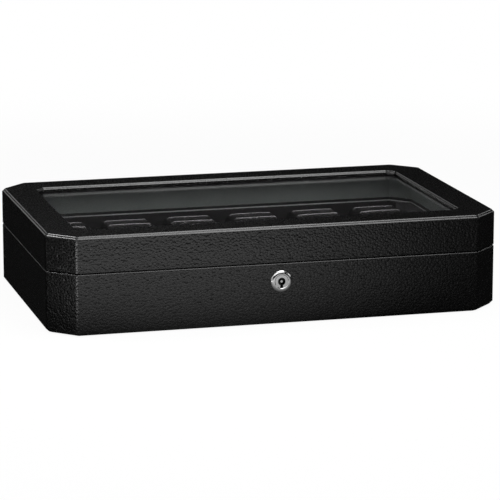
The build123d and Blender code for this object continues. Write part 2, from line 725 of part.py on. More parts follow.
def make_parts():
    """Every piece of the box by its name, as one solid or a list of like solids."""
    parts = {
        "base_carcass": make_base_carcass(),
        "base_leather": make_base_leather(),
        "lid_carcass": make_lid_carcass(),
        "lid_leather": make_lid_leather(),
        "lock_rosette": make_rosette(),
        "lock_plug": make_plug(),
        "keyhole_pin": make_key_pin(),
        "lock_claw": make_claw(),
        "claw_screw": make_claw_screw(),
        "lock_case": make_lock_case(),
        "lock_case_cover": make_case_cover(),
        "lock_case_screws": screws_at(lock_screw_spots(), RIM_HEIGHT),
        "striker_plate": make_striker(),
        "striker_screws": screws_at(lock_screw_spots(), LID_BOTTOM, True),
        "base_hinge_screws": screws_at(hinge_screw_spots(), RIM_HEIGHT),
        "lid_hinge_screws": screws_at(hinge_screw_spots(), LID_BOTTOM, True),
        "tray_end_left": make_tray_end(-1),
        "tray_end_right": make_tray_end(1),
    }
    parts["bottom_board"], parts["bottom_felt"] = make_bottom()
    floor, base_walls, lid_walls = make_linings()
    parts["tray_floor_lining"] = floor
    parts["base_wall_lining"] = base_walls
    parts["lid_wall_lining"] = lid_walls
    parts["glass_pane"], parts["glass_seal"], parts["glass_retainer"] = make_glass()
    for side, x in hinge_centres().items():
        parts[f"hinge_{side}_base_leaf"] = make_base_leaf(x)
        parts[f"hinge_{side}_lid_leaf"] = make_lid_leaf(x)
        parts[f"hinge_{side}_pin"] = make_hinge_pin(x)
    for index, y in enumerate(divider_lines(ROWS, ROW_PITCH), 1):
        parts[f"long_divider_{index}"] = make_long_divider(y)
    for index, x in enumerate(divider_lines(COLUMNS, COLUMN_PITCH), 1):
        parts[f"cross_divider_{index}"] = make_cross_divider(x)
    cushion = make_cushion()
    for name, (x, y) in cushion_places().items():
        parts[name] = Pos(x, y, TRAY_FLOOR + SOFT_GAP + CUSHION_HEIGHT / 2) * cushion
    return parts


def main():
    """Write every piece to its own file."""
    os.makedirs("parts", exist_ok=True)
    parts = make_parts()
    for name, piece in parts.items():
        shape = Compound(children=list(piece)) if isinstance(piece, list) else piece
        export_step(shape, f"parts/{name}.step")
    print(len(parts), "parts written")


main()
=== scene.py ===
# %% [markdown]
# # A watch box in black leather, dressed step by step
#
# The box is already built as a working model: boards, linings, glass, hinges and a lock, each at
# its real size. This lesson gives it its looks. The working model stays where it is. A piece whose
# shape is right only gets a finish, and a piece that needs a softer or finer shape is made here
# again in the same place and shown instead.
#
# Everything is in metres. The origin is under the middle of the box, X runs to the right, Y to the
# back and Z up. The front of the box faces -Y.

# %% Load the working model
import math
import random

import bmesh
import bpy
from mathutils import Matrix, Vector, noise
from mathutils.bvhtree import BVHTree


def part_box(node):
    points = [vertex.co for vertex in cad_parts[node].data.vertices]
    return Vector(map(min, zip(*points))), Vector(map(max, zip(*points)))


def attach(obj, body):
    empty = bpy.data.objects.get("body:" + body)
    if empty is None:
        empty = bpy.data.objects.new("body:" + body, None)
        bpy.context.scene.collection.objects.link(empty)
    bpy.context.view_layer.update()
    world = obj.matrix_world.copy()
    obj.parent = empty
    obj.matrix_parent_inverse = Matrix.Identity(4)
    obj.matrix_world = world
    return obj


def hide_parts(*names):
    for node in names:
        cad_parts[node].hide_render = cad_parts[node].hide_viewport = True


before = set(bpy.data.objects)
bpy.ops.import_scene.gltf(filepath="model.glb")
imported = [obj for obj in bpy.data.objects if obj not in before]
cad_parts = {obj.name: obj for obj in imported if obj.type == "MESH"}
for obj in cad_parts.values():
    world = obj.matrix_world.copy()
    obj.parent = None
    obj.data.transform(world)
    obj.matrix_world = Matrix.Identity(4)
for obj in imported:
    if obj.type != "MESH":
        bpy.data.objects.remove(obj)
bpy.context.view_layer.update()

# %% [markdown]
# Most sizes are read from the model, so that the finish follows it if it changes. Only what a box
# round a node can't tell is written here, such as how far the corners are cut.

# %% Sizes read from the model
MM = 0.001
BASE_LOW, BASE_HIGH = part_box("base_leather")
LID_LOW, LID_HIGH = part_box("lid_leather")
CORNER_LEG = 22.5 * MM
FRAME_WIDTH = 30.0 * MM
WINDOW_LEG = 7.0 * MM
EDGE_BEVEL = 2.8 * MM
WINDOW_BEVEL = 2.3 * MM
LIP = 1.0 * MM
LEATHER = 1.0 * MM
TURN_IN = 9.0 * MM
MITRE = 2 - math.sqrt(2)
HALF_WIDTH = BASE_HIGH.x
HALF_DEPTH = LID_HIGH.y
HALF_FRONT = -BASE_LOW.y
print("width", 2 * HALF_WIDTH, "depth", 2 * HALF_DEPTH, "height", LID_HIGH.z)

# %% [markdown]
# ## The camera
#
# The photograph was taken from far away with a long lens, from a little left of the middle and
# about twelve degrees above. A short lens close by could show the same corners, but its lines
# would run together too fast, so the camera stands two and a half metres off.

# %% Camera
YAW = math.radians(-15.034)
PITCH = math.radians(12.348)
DISTANCE = 2.4843
LENS = 199.7
TARGET = Vector((5.88 * MM, 0, 38.39 * MM))


def make_camera():
    data = bpy.data.cameras.new("photo_camera")
    data.lens = LENS
    data.clip_start = 0.1
    data.clip_end = 50
    camera = bpy.data.objects.new("photo_camera", data)
    back = Vector(
        (
            math.sin(YAW) * math.cos(PITCH),
            -math.cos(YAW) * math.cos(PITCH),
            math.sin(PITCH),
        )
    )
    camera.location = TARGET + back * DISTANCE
    camera.rotation_mode = "QUATERNION"
    camera.rotation_quaternion = (-back).to_track_quat("-Z", "Y")
    bpy.context.scene.collection.objects.link(camera)
    bpy.context.scene.camera = camera
    return camera


print("camera at", make_camera().location)

# %% [markdown]
# ## Small helpers for meshes and nodes
#
# Each piece is built in a bmesh and then handed over as an object at the origin. The helpers for
# nodes add a shader node and fill its inputs. An input takes a plain value or another node's
# output, so a material reads like a formula.

# %% Helpers for meshes
SAME_PLACE = 1e-6
SHARP_ANGLE = math.radians(35)


def new_object(name, bm, smooth=True):
    """Hands a finished bmesh over as an object at the origin."""
    mesh = bpy.data.meshes.new(name)
    bm.to_mesh(mesh)
    bm.free()
    for face in mesh.polygons:
        face.use_smooth = smooth
    made = bpy.data.objects.new(name, mesh)
    bpy.context.scene.collection.objects.link(made)
    return made


def middle_of(node):
    """The middle of the box round a node."""
    low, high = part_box(node)
    return (low + high) / 2


def only(kind, items):
    """The vertices, or the edges, among mixed pieces of geometry."""
    return [item for item in items if isinstance(item, kind)]


def outward(bm):
    """Merges doubles and turns all faces outwards."""
    bmesh.ops.remove_doubles(bm, verts=bm.verts, dist=SAME_PLACE)
    bmesh.ops.recalc_face_normals(bm, faces=bm.faces)


def round_edges(bm, edges, offset, segments, clamp=False):
    """Rounds edges with a few narrow faces."""
    bmesh.ops.bevel(
        bm,
        geom=edges,
        offset=offset,
        offset_type="OFFSET",
        affect="EDGES",
        segments=segments,
        profile=0.5,
        clamp_overlap=clamp,
        material=-1,
    )


def applied(piece):
    """The piece with its modifiers made part of its mesh."""
    depsgraph = bpy.context.evaluated_depsgraph_get()
    mesh = bpy.data.meshes.new_from_object(piece.evaluated_get(depsgraph))
    old = piece.data
    piece.modifiers.clear()
    piece.data = mesh
    bpy.data.meshes.remove(old)
    mesh.name = piece.name
    return piece


def modified(piece, kind, **fields):
    """The piece with the work of one modifier made part of its mesh."""
    modifier = piece.modifiers.new(kind.lower(), kind)
    for name, value in fields.items():
        setattr(modifier, name, value)
    return applied(piece)


def evenly_shaded(piece):
    """Keeps wide flat faces flat to the light, and leaves the bending to the narrow ones."""
    bm = bmesh.new()
    bm.from_mesh(piece.data)
    for edge in bm.edges:
        if len(edge.link_faces) == 2 and edge.calc_face_angle() > SHARP_ANGLE:
            edge.smooth = False
    for face in bm.faces:
        face.smooth = True
    bm.to_mesh(piece.data)
    bm.free()
    return modified(piece, "WEIGHTED_NORMAL", mode="FACE_AREA", weight=100, keep_sharp=True)


def finish_piece(piece, body, slot, material, *nodes):
    """Gives a piece its material and its body, and hides the nodes that it stands for. The slot is not
    used.
    """
    piece.data.materials.clear()
    piece.data.materials.append(material)
    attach(piece, body)
    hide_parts(*nodes)


# %% [markdown]
# The Mix node keeps its sockets for numbers and for colours in one list, under the same labels, so
# they are picked by their places in it.

# %% Helpers for shader nodes
NUMBER_A, NUMBER_B, NUMBER_OUT = 2, 3, 0
COLOUR_A, COLOUR_B, COLOUR_OUT = 6, 7, 2


def feed(tree, entry, value):
    """Gives an input a plain value, or joins another node's output to it."""
    if isinstance(value, bpy.types.NodeSocket):
        tree.links.new(value, entry)
    else:
        entry.default_value = value


def add_node(tree, kind, inputs=None, **settings):
    """Adds a node, sets its fields, then feeds its inputs."""
    node = tree.nodes.new(kind)
    for name, value in settings.items():
        setattr(node, name, value)
    for name, value in (inputs or {}).items():
        feed(tree, node.inputs[name], value)
    node.location.x = 220 * len(tree.nodes)
    return node


def calculate(tree, operation, *values, clamp=False):
    """One step of arithmetic."""
    inputs = dict(enumerate(values))
    return add_node(tree, "ShaderNodeMath", inputs, operation=operation, use_clamp=clamp).outputs[0]


def remap(tree, value, begin, full, low=0.0, high=1.0, soft=False):
    """Turns the span from begin to full into low to high, straight or with soft ends."""
    inputs = {"Value": value, "From Min": begin, "From Max": full, "To Min": low, "To Max": high}
    kind = "SMOOTHSTEP" if soft else "LINEAR"
    return add_node(tree, "ShaderNodeMapRange", inputs, interpolation_type=kind).outputs["Result"]


def pick(tree, mask, unmasked, masked):
    """A value that is one number outside a mask and another inside it."""
    inputs = {0: mask, NUMBER_A: unmasked, NUMBER_B: masked}
    return add_node(tree, "ShaderNodeMix", inputs, data_type="FLOAT").outputs[NUMBER_OUT]


def mix_colours(tree, mask, low, high):
    """A colour between two others, by a mask."""
    inputs = {0: mask, COLOUR_A: low, COLOUR_B: high}
    return add_node(tree, "ShaderNodeMix", inputs, data_type="RGBA").outputs[COLOUR_OUT]


def mix_shaders(tree, mask, unmasked, masked):
    """One shader outside a mask and another inside it."""
    return add_node(tree, "ShaderNodeMixShader", {0: mask, 1: unmasked, 2: masked}).outputs[0]


def object_place(tree):
    """Where a point is in its object's own axes."""
    return add_node(tree, "ShaderNodeTexCoord").outputs["Object"]


def grey(value, tint=(1.0, 1.0, 1.0)):
    """A colour of a plain brightness, with a slight tint."""
    return (value * tint[0], value * tint[1], value * tint[2], 1.0)


# %% [markdown]
# ## The studio
#
# The photograph is a catalogue picture on plain white. Black leather and glass mirror whatever
# stands round them, and there that is a dim room with a pale table in front. So the floor and the
# backdrop are white to the camera, also through glass, but to mirrored rays they are dim, apart
# from three pools of light on the floor. The wide one in front gives the front its soft grey. The
# small one beyond the corner on the left is mirrored only where that corner is rounded, and draws
# a thin light line down it. The one behind is only for those who walk round the box: the front
# mirrors none of it. Seen from below, the floor is clear, so that it doesn't hide the underside.

# %% World and floor
PALE = 1.0
MIRRORED = 0.011
FILL = 0.2
FLOOR_GLOW = 0.94
FLOOR_TONE = 0.8
FLOOR_RADIUS = 6.0
FLOOR_SIDES = 96
FLOOR_DROP = 0.2 * MM
SHADOW_REACH = (1.2, 1.2, 1.0)
SHADOW_FADE = 0.5
POOL_FADE = 0.7
POOLS = {
    "front": ((-0.07, -0.52, 0.0), (0.39, 0.45, 1.0), 0.92),
    "corner": ((-0.31, -0.38, 0.0), (0.16, 0.26, 1.0), 3.4),
    "back": ((0.1, 0.45, 0.0), (0.27, 0.45, 1.0), 0.8),
}


def ray_masks(tree):
    """Two masks: rays that show the backdrop as it is, and rays that were mirrored on their way."""
    ray = add_node(tree, "ShaderNodeLightPath").outputs
    camera_ray, glossy, through = ray["Is Camera Ray"], ray["Is Glossy Ray"], ray["Is Transmission Ray"]
    straight = calculate(tree, "MAXIMUM", camera_ray, through)
    bounced = calculate(tree, "GREATER_THAN", ray["Glossy Depth"], 0.5)
    reflected = calculate(tree, "SUBTRACT", glossy, through, clamp=True)
    return straight, calculate(tree, "MAXIMUM", reflected, bounced)


def make_world():
    world = bpy.data.worlds.new("studio")
    bpy.context.scene.world = world
    world.use_nodes = True
    tree = world.node_tree
    tree.nodes.clear()
    straight, mirrored = ray_masks(tree)
    strength = pick(tree, mirrored, pick(tree, straight, FILL, PALE), MIRRORED)
    sky = add_node(tree, "ShaderNodeBackground", {"Color": grey(PALE), "Strength": strength})
    add_node(tree, "ShaderNodeOutputWorld", {"Surface": sky.outputs["Background"]})


def floor_spot(tree, centre, size, fade, outside, inside):
    """A number with one value outside an oval on the floor and another at its middle."""
    inputs = {"Vector": object_place(tree), "Location": centre, "Scale": size}
    centred = add_node(tree, "ShaderNodeMapping", inputs, vector_type="TEXTURE").outputs["Vector"]
    oval = add_node(tree, "ShaderNodeTexGradient", {"Vector": centred}, gradient_type="SPHERICAL")
    return remap(tree, oval.outputs["Fac"], 0.0, fade, outside, inside, soft=True)


def make_paper():
    """The floor's finish: it takes a shadow near the box and is pure white far off."""
    material = bpy.data.materials.new("floor_paper")
    material.use_nodes = True
    tree = material.node_tree
    tree.nodes.clear()
    straight, mirrored = ray_masks(tree)
    pooled = MIRRORED
    for centre, size, brightness in POOLS.values():
        pool = floor_spot(tree, centre, size, POOL_FADE, MIRRORED, brightness)
        pooled = calculate(tree, "MAXIMUM", pooled, pool)
    whiteness = floor_spot(tree, (0.0, 0.0, 0.0), SHADOW_REACH, SHADOW_FADE, 1.0, FLOOR_GLOW)
    lit = add_node(tree, "ShaderNodeBsdfDiffuse", {"Color": grey(FLOOR_TONE)}).outputs[0]
    glow = add_node(tree, "ShaderNodeEmission", {"Color": grey(PALE), "Strength": PALE}).outputs[0]
    dim = add_node(tree, "ShaderNodeEmission", {"Color": grey(PALE), "Strength": pooled}).outputs[0]
    clear = add_node(tree, "ShaderNodeBsdfTransparent").outputs[0]
    seen = mix_shaders(tree, pick(tree, straight, 0.0, whiteness), lit, glow)
    above = mix_shaders(tree, mirrored, seen, dim)
    from_below = add_node(tree, "ShaderNodeNewGeometry").outputs["Backfacing"]
    surface = mix_shaders(tree, from_below, above, clear)
    add_node(tree, "ShaderNodeOutputMaterial", {"Surface": surface})
    return material


def make_floor():
    bm = bmesh.new()
    bmesh.ops.create_circle(bm, cap_ends=True, segments=FLOOR_SIDES, radius=FLOOR_RADIUS)
    for vert in bm.verts:
        vert.co.z = -FLOOR_DROP
    bmesh.ops.reverse_faces(bm, faces=[face for face in bm.faces if face.normal.z < 0])
    floor = new_object("floor", bm, smooth=False)
    floor.data.materials.append(make_paper())


make_world()
make_floor()
bpy.context.scene.view_settings.view_transform = "Standard"
print("pools of light on the floor:", list(POOLS))

# %% [markdown]
# Nine soft lamps make the picture. A wide one overhead is mirrored by every edge that slopes up to
# the front, which draws the bright line along the lid. A strong one high on the left is mirrored
# by the bevel of the front left corner, the brightest of all, and a small one between the two keeps
# the mitre from going black. Three cards, in front, on the left and on the right, are caught by the
# lock's ring and by the lips of the seam. Two small lamps behind draw the thin lines on the left
# edges and on the front right corner, and a weak narrow one wakes the grain on the front of the
# frame.
#
# Each row of the table says where a lamp stands, where it points, how wide and high it is, how
# bright it looks, and how wide its beam is in degrees.

# %% Lamps
OPEN_BEAM = 180
LAMPS = {
    "overhead_lamp": ((0.35, -0.38, 1.5), (0.05, -0.1, 0), (1.0, 0.9), 5.2, OPEN_BEAM),
    "corner_lamp": ((-0.95, 0.35, 1.5), (-0.2, -0.1, 0.08), (0.5, 0.5), 25.0, 30),
    "front_card": ((-0.25, -1.1, 0.95), (0, -0.1, 0.05), (2.0, 0.9), 1.6, OPEN_BEAM),
    "left_card": ((-1.3, -0.5, 0.4), (0, -0.1, 0.04), (0.8, 0.6), 0.95, OPEN_BEAM),
    "right_card": ((0.9, -0.55, 0.35), (0, -0.1, 0.04), (0.5, 0.3), 1.4, OPEN_BEAM),
    "mitre_lamp": ((-0.47, -0.31, 1.5), (-0.18, -0.11, 0.08), (0.35, 0.3), 7.0, 40),
    "back_lamp": ((-0.34, 1.6, 0.5), (-0.2, 0, 0.08), (0.5, 0.24), 0.95, OPEN_BEAM),
    "right_back_lamp": ((1.16, 0.47, 0.72), (0.19, -0.1, 0.08), (0.3, 0.3), 2.5, OPEN_BEAM),
    "grain_lamp": ((0.15, 1.0, 0.95), (-0.12, -0.13, 0.086), (0.4, 0.3), 1.2, 24),
}


def make_lamp(name, place, target, size, radiance, spread):
    """A soft lamp of a given brightness to the eye, aimed at a point. A narrow beam needs less."""
    data = bpy.data.lights.new(name, "AREA")
    data.shape = "RECTANGLE"
    data.size, data.size_y = size
    half = math.radians(spread) / 2
    beam = 1.0 if spread == OPEN_BEAM else 1 - half / math.tan(half)
    data.energy = radiance * math.pi * size[0] * size[1] * beam
    data.spread = 2 * half
    lamp = bpy.data.objects.new(name, data)
    lamp.location = place
    lamp.visible_camera = False
    aim = Vector(target) - Vector(place)
    lamp.rotation_mode = "QUATERNION"
    lamp.rotation_quaternion = aim.to_track_quat("-Z", "Y")
    bpy.context.scene.collection.objects.link(lamp)


for lamp_name, lamp_values in LAMPS.items():
    make_lamp(lamp_name, *lamp_values)

# %% [markdown]
# ## Shared effects
#
# Grain, nap and uneven polish turn up in several materials. Each is a node group, built once, with
# its own inputs, and each material sets its own values on it. A group puts out only values.

# %% Helpers for groups
def new_group(name, entries, results):
    """An empty group, what it is given, and what it puts out."""
    tree = bpy.data.node_groups.new(name, "ShaderNodeTree")
    for label, value in entries.items():
        socket = tree.interface.new_socket(label, in_out="INPUT", socket_type="NodeSocketFloat")
        socket.default_value = value
    for label in results:
        tree.interface.new_socket(label, in_out="OUTPUT", socket_type="NodeSocketFloat")
    start = add_node(tree, "NodeGroupInput")
    end = add_node(tree, "NodeGroupOutput")
    return tree, start.outputs, end.inputs


def noise_at(tree, place, scale, detail, roughness=0.5):
    """Noise with a scale in waves per metre."""
    inputs = {"Vector": place, "Scale": scale, "Detail": detail, "Roughness": roughness}
    return add_node(tree, "ShaderNodeTexNoise", inputs).outputs


def vector_step(tree, operation, inputs):
    """One step of arithmetic on vectors."""
    return add_node(tree, "ShaderNodeVectorMath", inputs, operation=operation).outputs[0]


# %% [markdown]
# Pebbled leather is a field of small domes with narrow creases between them. A Voronoi texture's
# distance to the nearest cell centre, squared, gives such domes, and its distance to the nearest
# edge tells where the creases are. The coordinates are pushed about by noise first, because real
# pebbles are never straight-sided. A second, wider noise lifts and sinks whole patches, so that the
# surface doesn't look printed.

# %% Pebble grain
WOBBLES_PER_METRE = 420.0
WOBBLE = 1.2 * MM
PATCHES_PER_METRE = 160.0
CREASE_SHARE = 0.16
HALF_WAY = (0.5, 0.5, 0.5)


def make_pebble_group():
    tree, given, result = new_group(
        "pebble_grain", {"Cells per metre": 500.0, "Unevenness": 0.35}, ["Height", "Crease"]
    )
    place = object_place(tree)
    wobble = noise_at(tree, place, WOBBLES_PER_METRE, 2.0)["Color"]
    push = vector_step(tree, "SUBTRACT", {0: wobble, 1: HALF_WAY})
    scaled = vector_step(tree, "SCALE", {0: push, "Scale": WOBBLE})
    moved = vector_step(tree, "ADD", {0: place, 1: scaled})
    cells = {"Vector": moved, "Scale": given["Cells per metre"]}
    middle = add_node(tree, "ShaderNodeTexVoronoi", cells, feature="F1").outputs["Distance"]
    dome = calculate(tree, "SUBTRACT", 1.0, calculate(tree, "MULTIPLY", middle, middle))
    patches = noise_at(tree, place, PATCHES_PER_METRE, 3.0)["Fac"]
    height = calculate(tree, "MULTIPLY_ADD", patches, given["Unevenness"], dome)
    edge = add_node(tree, "ShaderNodeTexVoronoi", cells, feature="DISTANCE_TO_EDGE").outputs["Distance"]
    feed(tree, result["Height"], height)
    feed(tree, result["Crease"], remap(tree, edge, 0.0, CREASE_SHARE, 1.0, 0.0, soft=True))
    return tree


PEBBLES = make_pebble_group()

# %% [markdown]
# Suede and felt have a nap: short fibres that lie in patches. Fine noise makes the fibres, and a
# wide noise the patches, which catch the light a little differently.

# %% Fabric nap
NAP_PATCHES_PER_METRE = 55.0


def make_nap_group():
    tree, given, result = new_group("fabric_nap", {"Fibres per metre": 2600.0}, ["Height", "Patch"])
    place = object_place(tree)
    feed(tree, result["Height"], noise_at(tree, place, given["Fibres per metre"], 4.0, 0.7)["Fac"])
    feed(tree, result["Patch"], noise_at(tree, place, NAP_PATCHES_PER_METRE, 2.0)["Fac"])
    return tree


NAP = make_nap_group()

# %% [markdown]
# Polished and stamped metal has faint drifts in its polish and fine scratches. Two noises, one
# wide and one stretched into hairlines, are enough at this size.

# %% Uneven polish
DRIFTS_PER_METRE = 70.0
HAIR_STRETCH = (0.04, 1.0, 1.0)


def make_polish_group():
    tree, given, result = new_group("uneven_polish", {"Lines per metre": 900.0}, ["Drift", "Hairline"])
    place = object_place(tree)
    stretched = vector_step(tree, "MULTIPLY", {0: place, 1: HAIR_STRETCH})
    hairs = noise_at(tree, stretched, given["Lines per metre"], 5.0, 0.75)["Fac"]
    feed(tree, result["Drift"], noise_at(tree, place, DRIFTS_PER_METRE, 3.0)["Fac"])
    feed(tree, result["Hairline"], hairs)
    return tree


POLISH = make_polish_group()
print("groups:", [g.name for g in bpy.data.node_groups])

# %% [markdown]
# ## The materials
#
# Each material starts from a Principled shader. A helper blends between two colours or two
# roughnesses by a mask from a group, and another turns a height into a bump.

# %% Helpers for materials
def new_material(name, **values):
    """A material with a Principled shader, whose plain values sit on its own sockets."""
    material = bpy.data.materials.new(name)
    material.use_nodes = True
    tree = material.node_tree
    shader = tree.nodes["Principled BSDF"]
    for label, value in values.items():
        shader.inputs[label.replace("_", " ")].default_value = value
    return material, tree, shader


def use_group(tree, group, inputs=None):
    """Places a shared effect in a material with its own values."""
    return add_node(tree, "ShaderNodeGroup", inputs, node_tree=group).outputs


def blend_colour(tree, mask, shader, low, high):
    """Colours the surface between two tones by a mask."""
    feed(tree, shader.inputs["Base Color"], mix_colours(tree, mask, low, high))


def blend_roughness(tree, mask, shader, low, high):
    """Sets the roughness between two values by a mask."""
    feed(tree, shader.inputs["Roughness"], remap(tree, mask, 0.0, 1.0, low, high))


def raise_surface(tree, height, shader, depth, strength=1.0):
    """Turns a height into a bump of a real depth in metres."""
    inputs = {"Height": height, "Distance": depth, "Strength": strength}
    feed(tree, shader.inputs["Normal"], add_node(tree, "ShaderNodeBump", inputs).outputs["Normal"])


def blend_over(material, mask, tone):
    """Blends the colour that a material has towards another tone, by a mask."""
    colour = material.node_tree.nodes["Principled BSDF"].inputs["Base Color"]
    before = colour.links[0].from_socket
    feed(material.node_tree, colour, mix_colours(material.node_tree, mask, before, tone))


def along_axis(material, axis, begin, full):
    """A mask that rises from 0 to 1 along one of the object's own axes."""
    tree = material.node_tree
    parts = add_node(tree, "ShaderNodeSeparateXYZ", {"Vector": object_place(tree)})
    return remap(tree, parts.outputs[axis], begin, full)


# %% [markdown]
# Where the leather is pressed with a hot tool, along its edges, the grain is nearly gone. The mesh
# says where that is, in an attribute, and the bump is weaker there.

# %% Leather
GRAIN_DEPTH = 0.25 * MM
GRAIN_LEFT = 0.12


def make_leather():
    material, tree, shader = new_material("black_pebbled_leather", Specular_IOR_Level=0.76)
    grain = use_group(tree, PEBBLES)
    # Painted shade: the creases between the pebbles are coloured darker than the domes.
    blend_colour(tree, grain["Crease"], shader, grey(0.0022), grey(0.0010))
    blend_roughness(tree, grain["Crease"], shader, 0.20, 0.32)
    pressed = add_node(tree, "ShaderNodeAttribute", attribute_name="pressed").outputs["Fac"]
    strength = remap(tree, pressed, 0.0, 1.0, 1.0, GRAIN_LEFT)
    raise_surface(tree, grain["Height"], shader, GRAIN_DEPTH, strength)
    return material


LEATHER_FINISH = make_leather()

# %% [markdown]
# The suedes differ in tone, sheen and tint. Two of them carry painted highlights: on the cushions
# the sewn ridges are painted light where an attribute says so, and the walls of the tray have a
# painted highlight, a fine light line a little below their top edge.

# %% Suede, felt and rubber
NAP_DEPTH = 0.12 * MM
# Painted highlight on the cushions' sewn ridges.
RIDGE_HIGHLIGHT_TONE = grey(0.25, (1.0, 0.97, 1.0))
# Painted highlight on the tray's walls, a little below their top edge.
RIM_HIGHLIGHT_TONE = grey(0.46)
RIM_HIGHLIGHT_HEAD = 2.0 * MM
RIM_HIGHLIGHT_FOOT = 3.3 * MM
RIM_HIGHLIGHT_FADE = 0.3 * MM
SEAL_DEPTH = 0.02 * MM


def make_suede(name, dark, light, sheen, tint, gloss=0.2):
    """A napped fabric between two tones."""
    material, tree, shader = new_material(
        name, Sheen_Weight=sheen, Sheen_Roughness=0.45, Specular_IOR_Level=gloss
    )
    nap = use_group(tree, NAP)
    blend_colour(tree, nap["Patch"], shader, grey(dark, tint), grey(light, tint))
    blend_roughness(tree, nap["Height"], shader, 0.85, 1.0)
    raise_surface(tree, nap["Height"], shader, NAP_DEPTH)
    return material


def make_cushion_suede():
    """A suede with a painted highlight on its ridges, where the mesh says so."""
    material = make_suede("cushion_suede", 0.009, 0.013, 0.0, (1.0, 0.97, 1.01), gloss=0.05)
    ridge_highlight = add_node(material.node_tree, "ShaderNodeAttribute", attribute_name="ridge_highlight")
    # Painted highlight: the ridges are coloured light in place of the light that they catch.
    blend_over(material, ridge_highlight.outputs["Fac"], RIDGE_HIGHLIGHT_TONE)
    return material


def make_tray_rim_highlight():
    """The tray's suede, with a painted highlight: a fine light line a little below the top edge of the
    walls.
    """
    material = TRAY_SUEDE.copy()
    material.name = "tray_rim_highlight_suede"
    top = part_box("base_wall_lining")[1].z
    head, foot = top - RIM_HIGHLIGHT_HEAD, top - RIM_HIGHLIGHT_FOOT
    over_foot = along_axis(material, "Z", foot, foot + RIM_HIGHLIGHT_FADE)
    under_head = along_axis(material, "Z", head, head - RIM_HIGHLIGHT_FADE)
    # Painted highlight: a light band along the walls, a little below their top edge.
    blend_over(material, calculate(material.node_tree, "MULTIPLY", over_foot, under_head), RIM_HIGHLIGHT_TONE)
    return material


def make_rubber():
    material, tree, shader = new_material("black_seal", Specular_IOR_Level=0.4)
    polish = use_group(tree, POLISH)
    blend_colour(tree, polish["Drift"], shader, grey(0.010), grey(0.016))
    blend_roughness(tree, polish["Drift"], shader, 0.5, 0.65)
    raise_surface(tree, polish["Hairline"], shader, SEAL_DEPTH)
    return material


TRAY_SUEDE = make_suede("tray_suede", 0.014, 0.021, 0.03, (1.0, 0.95, 1.02))
TRAY_RIM_HIGHLIGHT_SUEDE = make_tray_rim_highlight()
TRAY_END_SUEDE = make_suede("tray_end_suede", 0.045, 0.062, 0.05, (1.0, 0.96, 1.02))
CUSHION_SUEDE = make_cushion_suede()
LID_SUEDE = make_suede("lid_suede", 0.18, 0.23, 0.05, (0.95, 1.03, 1.0))
FELT = make_suede("black_felt", 0.012, 0.02, 0.02, (1.0, 1.0, 1.0))
RUBBER = make_rubber()

# %% Board, metal and glass
BOARD_FIBRES = 1400.0
BOARD_DEPTH = 0.1 * MM
METAL_DEPTH = 0.012 * MM


def make_board(name, dark, light):
    """Pressed wood board, seen only where a cut is open or through the edge of the glass."""
    material, tree, shader = new_material(name, Specular_IOR_Level=0.3)
    nap = use_group(tree, NAP, {"Fibres per metre": BOARD_FIBRES})
    blend_colour(tree, nap["Height"], shader, dark, light)
    blend_roughness(tree, nap["Height"], shader, 0.75, 0.95)
    raise_surface(tree, nap["Height"], shader, BOARD_DEPTH)
    return material


def make_metal(name, dark, light, smooth, rough):
    """A plated or stamped metal between two tones and two finishes."""
    material, tree, shader = new_material(name, Metallic=1.0)
    polish = use_group(tree, POLISH)
    blend_colour(tree, polish["Drift"], shader, grey(dark), grey(light))
    blend_roughness(tree, polish["Hairline"], shader, smooth, rough)
    raise_surface(tree, polish["Hairline"], shader, METAL_DEPTH)
    return material


def make_glass():
    """Clear glass. Light on its way to a lamp passes straight through, so that the tray is lit."""
    material, tree, shader = new_material(
        "window_glass", Base_Color=(1, 1, 1, 1), Transmission_Weight=1.0, IOR=1.45
    )
    blend_roughness(tree, use_group(tree, POLISH)["Drift"], shader, 0.0, 0.005)
    clear = add_node(tree, "ShaderNodeBsdfTransparent").outputs["BSDF"]
    to_lamp = add_node(tree, "ShaderNodeLightPath").outputs["Is Shadow Ray"]
    surface = mix_shaders(tree, to_lamp, shader.outputs["BSDF"], clear)
    feed(tree, tree.nodes["Material Output"].inputs["Surface"], surface)
    return material


BOARD = make_board("pressed_board", (0.20, 0.13, 0.075, 1), (0.36, 0.26, 0.16, 1))
PAINTED_BOARD = make_board("painted_board", grey(0.010), grey(0.022))
NICKEL = make_metal("polished_nickel", 0.60, 0.74, 0.12, 0.26)
STEEL = make_metal("lock_steel", 0.42, 0.55, 0.28, 0.5)
GLASS = make_glass()
print("materials:", len(bpy.data.materials))

# %% [markdown]
# ## The leather
#
# One hide is stretched round the walls of each half, over the edges and in at the rim. On the real
# box its edges are pressed with a hot crease, which leaves two soft ridges on the top bevel and a
# fine line along each edge of the walls. A bevel on the working model's own shell would round the
# edge but not draw these ridges. So each skin is made by walking: an octagon of edges is extruded
# from step to step of the leather's profile, and the last step closes on the first.

# %% Walk an octagon along a profile
ROUNDING = 1.5 * MM
ROUNDING_FACES = 4
BAND_PLAY = 0.01 * MM


def octagon_corners(inset, height, leg=None):
    """The eight corners of an octagon that is drawn in from the box's outside by inset."""
    half_x = HALF_WIDTH - inset
    half_y = HALF_DEPTH - inset
    cut = CORNER_LEG - MITRE * inset if leg is None else leg
    corners = []
    for sx, sy in ((1, -1), (1, 1), (-1, 1), (-1, -1)):
        near_side = Vector((sx * half_x, sy * (half_y - cut), height))
        near_end = Vector((sx * (half_x - cut), sy * half_y, height))
        corners += [near_end, near_side] if sx * sy < 0 else [near_side, near_end]
    return corners


def mark_pressed(bm):
    """Marks the vertices on the bevels and the lips, which lose their grain in the press."""
    pressed = bm.verts.layers.float.new("pressed")
    bands = (
        (LID_HIGH.z - EDGE_BEVEL, LID_HIGH.z),
        (LID_LOW.z, LID_LOW.z + LIP),
        (BASE_HIGH.z - LIP, BASE_HIGH.z),
    )
    for vert in bm.verts:
        inside = any(low + BAND_PLAY < vert.co.z < high - BAND_PLAY for low, high in bands)
        vert[pressed] = float(inside)


